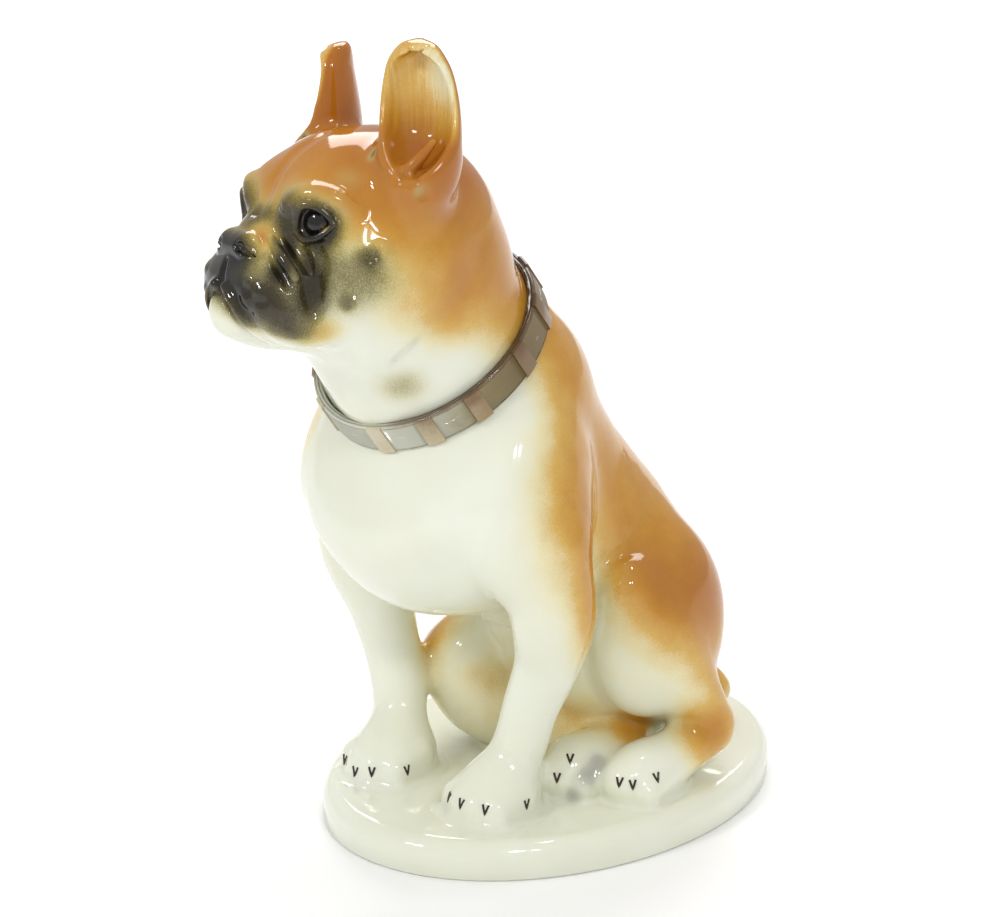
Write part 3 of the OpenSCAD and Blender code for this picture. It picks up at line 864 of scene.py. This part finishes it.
def nothing(p):
    return np.full(len(p), 60.0)


piece, figure = cast("head", head, nothing, 2.0, glaze_head, cell=0.62,
                     extra=lambda p: -above_collar(p))
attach(piece, "root")
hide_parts("head")

# ---------------------------------------------------------------------------------------------
# Ears. Two cast bat ears, thin-rimmed cups that narrow from a deep base, luted to the skull. Red
# brown behind, cream streaked with ochre inside.
# ---------------------------------------------------------------------------------------------
glaze_ear = glaze("glaze_ear", [("fawn", FAWN, 1.2, 1.0), ("mask_and_shade", MASK_AND_SHADE, 1.6, 0.8)], waviness=0.6)


class Cone:
    """A leaning cone of clay: half width, half depth and a shift of its centre at each height."""

    def __init__(self, foot, turn, stations):
        self.foot, self.turn = np.array(foot, float), turn
        self.stations = eased(stations, 6)
        self.low = self.foot - (24, 24, 4)
        self.high = self.foot + (24, 24, self.stations[-1, 0] + 4)

    def __call__(self, p):
        q = (p - self.foot) @ self.turn
        high, width, depth, lean, back = self.stations.T
        t = q[:, 2]
        w, d = np.interp(t, high, width), np.interp(t, high, depth)
        a = (q[:, 0] - np.interp(t, high, lean)) / w
        b = (q[:, 1] - np.interp(t, high, back)) / d
        side = (np.sqrt(a * a + b * b) - 1.0) * np.minimum(w, d)
        return np.maximum(np.maximum(side * 0.85, t - high[-1]), high[0] - t)


for name, s in (("ear_left", 1), ("ear_right", -1)):
    facing = turned_by(0, 0, 46 if s > 0 else -38)
    foot = (s * 25.5, 6, 0)
    tall = 1.0 if s > 0 else 0.93
    rim = [(-4, 2, 2, -s * 4, 2), (5, 6, 7, -s * 2, 1), (13, 9.6, 9.8, -s * 0.6, 0.2),
           (20, 10.8, 10.6, -s * 0.2, 0.4),
           (26, 10.6, 9.8, -s * 0.2, 0.3), (33, 10.4, 8.6, -s * 0.7, 0.5), (39, 9.7, 7.2, -s * 1.3, 0.8),
           (44, 8.4, 5.6, -s * 1.9, 1.4), (47.6, 6.4, 4.2, -s * 2.4, 2.3), (49.8, 4.2, 2.8, -s * 2.6, 3.2),
           (51, 0.8, 0.8, -s * 2.7, 4.2)]
    cup = [(17, 1.5, 3, 0, -8), (21, 5.5, 7.4, 0, -6.4), (27, 8.2, 10, -s * 0.2, -5.0),
           (33, 8.6, 9.4, -s * 0.7, -4.2),
           (38, 8.0, 7.8, -s * 1.3, -3.2), (42.5, 6.4, 5.8, -s * 1.9, -1.8), (45.5, 4.2, 4.0, -s * 2.3, -0.4),
           (47.6, 1.4, 1.6, -s * 2.5, 1.2)]
    rim = [(z * tall, w, d, x, y) for z, w, d, x, y in rim]
    cup = [(z * tall, w, d, x, y) for z, w, d, x, y in cup]
    ear = Clay()
    ear.press(Cone(foot, facing, rim))
    ear.carve(Cone(foot, facing, cup), 3.0)
    # a soft fold inside the bottom of the ear, and a small pit below its root
    ear.press(Coil([(s * 28.2, 1.6, 19, 1.6), (s * 29.6, 4.0, 22 * tall, 1.5),
                    (s * 31, 6.6, 26 * tall, 0.8)]), 3.0)
    ear.carve(Egg((s * 34.8, 2.8, 13), 1.6), 2)
    piece, figure = cast(name, Placed(ear), figure, 5.0, glaze_ear, cell=0.62)
    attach(piece, "root")
    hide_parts(name)
smoothed(figure)

# ---------------------------------------------------------------------------------------------
# Collar. A thin strip of clay laid round the neck over the joint, washed grey, with raised cross
# bands pressed on to it.
# ---------------------------------------------------------------------------------------------
COLLAR = [(0.0, (0.56, 0.565, 0.46), 0.9), (0.35, (0.46, 0.44, 0.32), 1.0),
          (0.7, (0.29, 0.235, 0.115), 1.0),
          (1.0, (0.22, 0.16, 0.075), 1.0)]
EDGE = [(0.0, (0.30, 0.22, 0.13), 0.0), (0.4, (0.16, 0.085, 0.035), 0.7), (1.0, (0.025, 0.015, 0.01), 1.0)]
glaze_collar = glaze("glaze_collar", [("wash", COLLAR, 1.0, 2.0), ("edge", EDGE, 1.0, 2.0)], gloss=0.08)


def flat_section(add, sizes, rounding, points=None):
    """A rolled strip's cross-section: a rectangle with rounded corners, in shares of its thickness."""
    curve = add("GeometryNodeCurvePrimitiveQuadrilateral",
                {"Width": sizes["Thickness"], "Height": sizes["Width"]}).outputs[0]
    if points:
        curve = add("GeometryNodeResampleCurve", {"Curve": curve, "Count": points}).outputs[0]
    corner = add("ShaderNodeMath", {0: sizes["Thickness"], 1: rounding}, operation="MULTIPLY")
    return add("GeometryNodeFilletCurve", {"Curve": curve, "Radius": corner.outputs[0], "Count": 4},
               mode="POLY")


tree, sizes, add, finish = node_tree("neck_strip", {"Radius": "Float", "Thickness": "Float", "Width": "Float",
                                                    "Turn": "Rotation", "Place": "Vector"})
ring = add("GeometryNodeCurvePrimitiveCircle", {"Resolution": 220, "Radius": sizes["Radius"]})
section = flat_section(add, sizes, 0.4, 40)
swept = add("GeometryNodeCurveToMesh", {"Curve": ring.outputs[0], "Profile Curve": section.outputs[0]})
placed = add("GeometryNodeTransform", {"Geometry": swept.outputs[0], "Translation": sizes["Place"],
                                       "Rotation": sizes["Turn"]})
smooth = add("GeometryNodeSetShadeSmooth", {"Geometry": placed.outputs[0], "Shade Smooth": True})
finish(smooth.outputs[0], glaze_collar)
collar_euler = Matrix(COLLAR_TURN.tolist()).to_euler()
collar = grown("collar", tree, {"Radius": 31.3 * MM, "Thickness": 2.3 * MM, "Width": 9.5 * MM,
                                "Turn": collar_euler, "Place": tuple(COLLAR_AT * MM)})

BANDS = [(0.0, (0.60, 0.55, 0.40), 0.9), (0.4, (0.50, 0.40, 0.24), 1.0), (0.75, (0.30, 0.20, 0.09), 1.0),
         (1.0, (0.20, 0.12, 0.05), 1.0)]
glaze_bands = glaze("glaze_bands", [("wash", BANDS, 1.0, 2.0), ("edge", EDGE, 1.0, 2.0)], gloss=0.08)
tree, sizes, add, finish = node_tree("cross_bands", {
    "Radius": "Float", "Thickness": "Float", "Width": "Float", "Sweep": "Float", "Turn": "Rotation",
    "Place": "Vector"})
half = add("ShaderNodeMath", {0: sizes["Sweep"], 1: -0.5}, operation="MULTIPLY")
arc = add("GeometryNodeCurveArc", {"Resolution": 10, "Radius": sizes["Radius"],
                                   "Start Angle": half.outputs[0],
                                   "Sweep Angle": sizes["Sweep"]})
section = flat_section(add, sizes, 0.45)
band = add("GeometryNodeCurveToMesh", {"Curve": arc.outputs[0], "Profile Curve": section.outputs[0],
                                       "Fill Caps": True})
where = add("GeometryNodeInputPosition")
angle = add("ShaderNodeSeparateXYZ", {0: where.outputs[0]})
spin = add("ShaderNodeCombineXYZ", {"Z": angle.outputs["X"]})
middle = add("ShaderNodeCombineXYZ")
centred = add("GeometryNodeSetPosition", {"Position": middle.outputs[0]})
spun = add("GeometryNodeCaptureAttribute", {"Geometry": sizes["Geometry"]})
spun.capture_items.new("VECTOR", "spin")
tree.links.new(spin.outputs[0], spun.inputs["spin"])
tree.links.new(spun.outputs["Geometry"], centred.inputs["Geometry"])
many = add("GeometryNodeInstanceOnPoints", {"Points": centred.outputs[0], "Instance": band.outputs[0],
                                            "Rotation": spun.outputs["spin"]})
placed = add("GeometryNodeTransform", {"Geometry": many.outputs[0], "Translation": sizes["Place"],
                                       "Rotation": sizes["Turn"]})
finish(placed.outputs[0], glaze_bands)
turns = bpy.data.meshes.new("band_turns")
turns.from_pydata([(math.radians(a), 0, 0) for a in
                   (-121, -79, -53, -28, 3, 32, 62, 93, 124, 155, 186, 213)], [], [])
bands = grown("collar_bands", tree, {
    "Radius": 32.3 * MM, "Thickness": 1.4 * MM, "Width": 9.7 * MM, "Sweep": 4.6 / 32.5,
    "Turn": collar_euler, "Place": tuple(COLLAR_AT * MM)}, turns)
for thing, node, slot in ((collar, "collar", "collar_glaze"), (bands, "collar_bands", "collar_band_glaze")):
    p = np.array([v.co for v in thing.data.vertices]) / MM - COLLAR_AT
    q = p @ COLLAR_TURN
    angle = np.degrees(np.arctan2(q[:, 1], q[:, 0]))
    dark = rise(np.abs((angle + 95 + 180) % 360 - 180), 20, 100)
    if node == "collar_bands":
        dark = dark * 0.85 + 0.15
    edge = 0.75 * rise(q[:, 2], 3.4, 4.9) * rise(np.abs((angle + 105 + 180) % 360 - 180), 20, 60)
    for channel, level in (("wash", dark), ("edge", edge)):
        layer = thing.data.attributes.new(channel, "FLOAT", "POINT")
        layer.data.foreach_set("value", np.clip(level, 0, 1).astype(np.float32))
    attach(thing, "root")
    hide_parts(node)

# ---------------------------------------------------------------------------------------------
# Stage. A pale floor, soft studio light, and the camera a metre away, above the dog's left eye.
# ---------------------------------------------------------------------------------------------
floor_mesh = bpy.data.meshes.new("floor")
floor_mesh.from_pydata([(-3, -3, 0), (3, -3, 0), (3, 3, 0), (-3, 3, 0)], [], [(0, 1, 2, 3)])
floor = bpy.data.objects.new("floor", floor_mesh)
bpy.context.collection.objects.link(floor)
paper = bpy.data.materials.new("pale_paper")
paper.use_nodes = True
paper.node_tree.nodes["Principled BSDF"].inputs["Base Color"].default_value = (0.97, 0.97, 0.97, 1)
paper.node_tree.nodes["Principled BSDF"].inputs["Roughness"].default_value = 0.9
floor_mesh.materials.append(paper)

bpy.context.scene.view_settings.view_transform = "Standard"
world = bpy.data.worlds.new("studio")
bpy.context.scene.world = world
world.use_nodes = True
world.node_tree.nodes["Background"].inputs["Color"].default_value = (1.0, 1.0, 1.0, 1)
world.node_tree.nodes["Background"].inputs["Strength"].default_value = 0.6


def lamp(name, at, aim, size, power, colour=(1, 1, 1)):
    light = bpy.data.lights.new(name, "AREA")
    light.shape = "RECTANGLE"
    light.size, light.size_y = size
    light.energy = power
    light.color = colour
    thing = bpy.data.objects.new(name, light)
    thing.location = at
    thing.rotation_euler = (Vector(aim) - Vector(at)).to_track_quat("-Z", "Y").to_euler()
    bpy.context.collection.objects.link(thing)


centre = (0.0, -0.01, 0.11)
for name, at, size, power in (
        ("front_a", (-0.30, -1.05, 0.95), (0.05, 0.17), 1.95),
        ("front_b", (-0.14, -1.10, 0.95), (0.05, 0.17), 1.95),
        ("side_a", (0.95, -0.62, 0.98), (0.05, 0.16), 1.95),
        ("side_b", (1.05, -0.46, 0.95), (0.05, 0.16), 1.95),
        ("over", (0.15, 0.25, 1.35), (0.22, 0.07), 1.2)):
    lamp(name, at, centre, size, power)

lamp("floor_wash", (-1.2, 1.4, 1.6), (-0.9, 1.1, 0.0), (1.4, 1.4), 32.0)
camera_turn, camera_rise, camera_far = math.radians(43.5), math.radians(19.0), 1.0
aim = Vector((-0.0058, -0.0135, 0.0984))
level = math.cos(camera_rise)
backward = Vector((math.sin(camera_turn) * level, -math.cos(camera_turn) * level,
                   math.sin(camera_rise)))
camera = bpy.data.objects.new("camera", bpy.data.cameras.new("camera"))
camera.data.lens = 133.8
camera.data.sensor_width = 36.0
camera.location = aim + backward * camera_far
camera.rotation_euler = backward.to_track_quat("Z", "Y").to_euler()
bpy.context.collection.objects.link(camera)
bpy.context.scene.camera = camera
